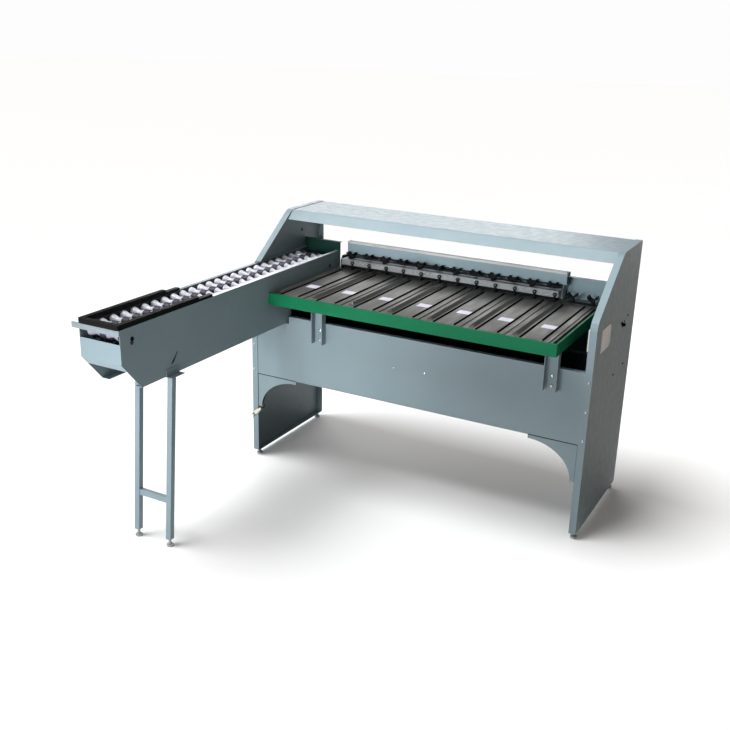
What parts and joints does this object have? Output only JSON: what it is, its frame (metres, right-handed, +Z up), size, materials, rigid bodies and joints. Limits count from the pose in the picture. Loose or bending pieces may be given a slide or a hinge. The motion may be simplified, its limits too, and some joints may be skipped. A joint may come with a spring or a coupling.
{
  "type": "egg grading machine",
  "caption": "Egg grading machine: a roller conveyor feeds weighing levers and a transfer beam over a table of collecting lanes.",
  "frame": {"origin": "on the floor under the middle of the machine's overall box", "axes": "+X to the right along the table, +Y to the rear, away from the loading end of the conveyor, +Z up"},
  "size_m": [1.4156, 1.446, 1],
  "materials": {
    "grey_paint": "satin",
    "green_paint": "satin",
    "bright_steel": "brushed",
    "brushed_steel": "brushed",
    "black_plastic": "matte",
    "white_plastic": "semi-gloss",
    "dark_steel": "satin",
    "rubber": "matte",
    "cream_plastic": "matte"
  },
  "bodies": {
    "machine_frame": {"left_end_frame": "grey_paint", "right_end_frame": "grey_paint", "front_apron": "grey_paint", "left_gusset": "grey_paint", "right_gusset": "grey_paint", "rear_panel": "grey_paint", "top_hood": "grey_paint", "frame_foot_front_left": "rubber", "frame_foot_rear_left": "rubber", "frame_foot_front_right": "rubber", "frame_foot_rear_right": "rubber", "conveyor_left_side": "grey_paint", "conveyor_right_side": "grey_paint", "conveyor_front_panel": "grey_paint", "conveyor_front_bar": "bright_steel", "loading_frame": "black_plastic", "left_chain_guide": "bright_steel", "right_chain_guide": "bright_steel", "conveyor_end_guard": "green_paint", "drive_chain": "dark_steel", "gearmotor": "dark_steel", "stand_frame": "grey_paint", "stand_bracket": "grey_paint", "stand_foot_left": "rubber", "stand_foot_right": "rubber", "table_deck": "brushed_steel", "mechanism_base": "brushed_steel", "lane_plate_1": "brushed_steel", "lane_plate_2": "brushed_steel", "lane_plate_3": "brushed_steel", "lane_plate_4": "brushed_steel", "lane_plate_5": "brushed_steel", "lane_plate_6": "brushed_steel", "lane_plate_7": "brushed_steel", "table_rim": "green_paint", "table_bracket_left": "grey_paint", "table_bracket_right": "grey_paint", "table_support_beam": "grey_paint", "table_support_rod": "dark_steel", "cradle_shelf": "bright_steel", "mechanism_cover": "grey_paint", "lever_pivot_rod": "dark_steel", "rest_cradles": "black_plastic", "outlet_forks": "black_plastic", "power_plug": "cream_plastic", "power_lead": "rubber"},
    "conveyor_drive": {"drive_shaft": "white_plastic"},
    "conveyor_idler": {"idler_shaft": "white_plastic"},
    "roller_chain_upper": {"roller_run": "white_plastic"},
    "roller_chain_return": {"return_run": "white_plastic"},
    "motor_output": {"motor_sprocket": "dark_steel"},
    "transfer_slide": {"transfer_carriage": "dark_steel"},
    "transfer_lifter": {"transfer_beam": "black_plastic"},
    "cams": {"cam_shaft": "dark_steel"},
    "lever_1": {"weigh_lever_1": "black_plastic"},
    "lever_2": {"weigh_lever_2": "black_plastic"},
    "lever_3": {"weigh_lever_3": "black_plastic"},
    "lever_4": {"weigh_lever_4": "black_plastic"},
    "lever_5": {"weigh_lever_5": "black_plastic"},
    "lever_6": {"weigh_lever_6": "black_plastic"}
  },
  "joints": [
    {"name": "conveyor_turn", "type": "hinge", "parent": "machine_frame", "child": "conveyor_drive", "pos_m": [-0.596, 0.536, 0.77117], "axis": [-1, 0, 0], "range_deg": [0, 90.01]},
    {"name": "idler_turn", "type": "hinge", "parent": "machine_frame", "child": "conveyor_idler", "pos_m": [-0.596, -0.664, 0.77117], "axis": [-1, 0, 0], "range_deg": [0, 90.01]},
    {"name": "roller_index", "type": "slide", "parent": "machine_frame", "child": "roller_chain_upper", "axis": [0, 1, 0], "range_m": [0, 0.05]},
    {"name": "return_index", "type": "slide", "parent": "machine_frame", "child": "roller_chain_return", "axis": [0, -1, 0], "range_m": [0, 0.05]},
    {"name": "motor_turn", "type": "hinge", "parent": "machine_frame", "child": "motor_output", "pos_m": [-0.67315, 0.536, 0.52], "axis": [-1, 0, 0], "range_deg": [0, 135.02]},
    {"name": "transfer_shift", "type": "slide", "parent": "machine_frame", "child": "transfer_slide", "axis": [1, 0, 0], "range_m": [0, 0.07941]},
    {"name": "transfer_lift", "type": "slide", "parent": "transfer_slide", "child": "transfer_lifter", "axis": [0, 0, 1], "range_m": [0, 0.006]},
    {"name": "cam_turn", "type": "hinge", "parent": "machine_frame", "child": "cams", "pos_m": [0.01285, 0.653, 0.69], "axis": [1, 0, 0], "continuous": true},
    {"name": "weigh_tilt_1", "type": "hinge", "parent": "machine_frame", "child": "lever_1", "pos_m": [-0.38004, 0.665, 0.8005], "axis": [1, 0, 0], "range_deg": [0, 6]},
    {"name": "weigh_tilt_2", "type": "hinge", "parent": "machine_frame", "child": "lever_2", "pos_m": [-0.22122, 0.665, 0.8005], "axis": [1, 0, 0], "range_deg": [0, 6]},
    {"name": "weigh_tilt_3", "type": "hinge", "parent": "machine_frame", "child": "lever_3", "pos_m": [-0.06241, 0.665, 0.8005], "axis": [1, 0, 0], "range_deg": [0, 6]},
    {"name": "weigh_tilt_4", "type": "hinge", "parent": "machine_frame", "child": "lever_4", "pos_m": [0.0964, 0.665, 0.8005], "axis": [1, 0, 0], "range_deg": [0, 6]},
    {"name": "weigh_tilt_5", "type": "hinge", "parent": "machine_frame", "child": "lever_5", "pos_m": [0.25522, 0.665, 0.8005], "axis": [1, 0, 0], "range_deg": [0, 6]},
    {"name": "weigh_tilt_6", "type": "hinge", "parent": "machine_frame", "child": "lever_6", "pos_m": [0.41403, 0.665, 0.8005], "axis": [1, 0, 0], "range_deg": [0, 6]}
  ],
  "couplings": [
    {"joint": "return_index", "follows": "roller_index", "ratio": 1},
    {"joint": "conveyor_turn", "follows": "roller_index", "rad_per_m": 31.416},
    {"joint": "idler_turn", "follows": "roller_index", "rad_per_m": 31.416},
    {"joint": "motor_turn", "follows": "roller_index", "rad_per_m": 47.124}
  ]
}
